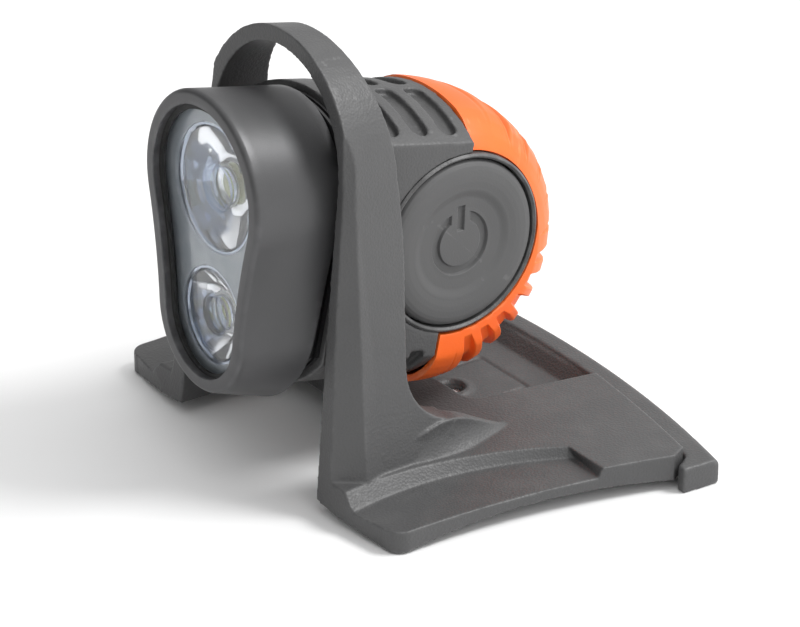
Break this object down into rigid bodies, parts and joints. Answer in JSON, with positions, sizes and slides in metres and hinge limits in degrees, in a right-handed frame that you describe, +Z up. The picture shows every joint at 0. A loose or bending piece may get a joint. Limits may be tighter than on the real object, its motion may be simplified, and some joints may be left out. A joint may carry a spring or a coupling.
{
  "type": "headlamp",
  "caption": "Compact headlamp with two optics in a pear-shaped bezel, a round side button and a fluted cap, tilting in a stirrup bracket that slides on a low mounting shoe.",
  "frame": {"origin": "Middle of the bottom of the whole object, on the surface it stands on.", "axes": "+Z up, -Y the way the lamp shines, +X the side with the power button."},
  "size_m": [0.092, 0.0677, 0.0678],
  "materials": {
    "grey_plastic": "moulded with a fine grain",
    "orange_plastic": "moulded grip plastic, satin",
    "black_plastic": "satin black",
    "anodised": "dark grey satin anodised",
    "bare_aluminium": "machined",
    "window_clear": "clear, polished",
    "optic_clear": "clear, polished",
    "mirror_coat": "vacuum metallised",
    "plate_grey": "satin grey",
    "seal_rubber": "matte",
    "button_rubber": "matte",
    "phosphor": "pale yellow phosphor on a white base",
    "board_green": "solder mask",
    "board_white": "white solder mask on a metal core",
    "steel": "plated",
    "spring_brass": "gold plated",
    "cell_wrap": "heat-shrunk sleeve"
  },
  "bodies": {
    "shoe": {"mounting_shoe": "grey_plastic"},
    "bracket": {"bracket": "grey_plastic"},
    "lamp": {"window_seal": "seal_rubber", "front_window": "window_clear", "reflector_plate": "plate_grey", "large_reflector": "mirror_coat", "small_reflector": "mirror_coat", "large_optic": "optic_clear", "small_optic": "optic_clear", "large_led": "phosphor", "small_led": "phosphor", "led_board": "board_white", "bezel": "anodised", "board_screws": "steel", "heat_sink": "bare_aluminium", "neck_ring": "black_plastic", "body_shell": "grey_plastic", "body_seal": "seal_rubber", "button_frame": "grey_plastic", "tact_switch": "steel", "switch_board": "board_green", "driver_board": "board_green", "battery_cell": "cell_wrap", "cell_cradle": "black_plastic", "front_contact": "spring_brass", "pivot_pins": "steel", "friction_washers": "seal_rubber"},
    "button": {"power_button": "button_rubber"},
    "cap": {"rear_cap": "orange_plastic", "cap_plug": "black_plastic", "cap_seal": "seal_rubber", "rear_contact": "spring_brass"}
  },
  "joints": [
    {"name": "bracket_slide", "type": "slide", "parent": "shoe", "child": "bracket", "axis": [0, -1, 0], "range_m": [0, 0.03]},
    {"name": "lamp_tilt", "type": "hinge", "parent": "bracket", "child": "lamp", "pos_m": [0, -0.015, 0.0337], "axis": [1, 0, 0], "range_deg": [-5, 30]},
    {"name": "button_press", "type": "slide", "parent": "lamp", "child": "button", "axis": [-1, 0, 0], "range_m": [0, 0.0008], "stiffness_N_per_m": 600, "springref_m": -0.0004},
    {"name": "cap_pull", "type": "slide", "parent": "lamp", "child": "cap", "axis": [0, 0.9774, -0.2113], "range_m": [0, 0.014]}
  ]
}
